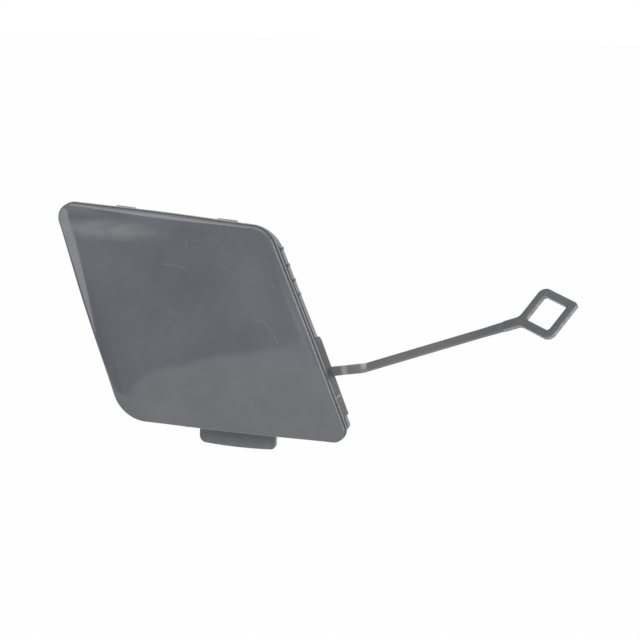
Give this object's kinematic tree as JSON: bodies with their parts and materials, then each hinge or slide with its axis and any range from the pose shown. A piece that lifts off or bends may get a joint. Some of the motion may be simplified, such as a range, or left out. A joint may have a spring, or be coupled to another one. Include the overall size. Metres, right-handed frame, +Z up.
{
  "type": "bumper tow hook cover",
  "caption": "Skewed four-sided plastic cover for the tow eye's opening in a bumper, with snap hooks, a tongue, a skirt and a moulded strap that ends in a square loop.",
  "frame": {"origin": "in the plane of the lip's back, which seats on the bumper, in the middle of the face's four corners", "axes": "+Y goes into the car, square to the bumper's opening; +Z is up; +X is to the right as one looks at the face"},
  "size_m": [0.1716, 0.0212, 0.081],
  "materials": {
    "cover_plastic": "dark blue-grey plastic with a satin gloss"
  },
  "bodies": {
    "root": {"tow_hook_cover": "cover_plastic"}
  },
  "joints": []
}
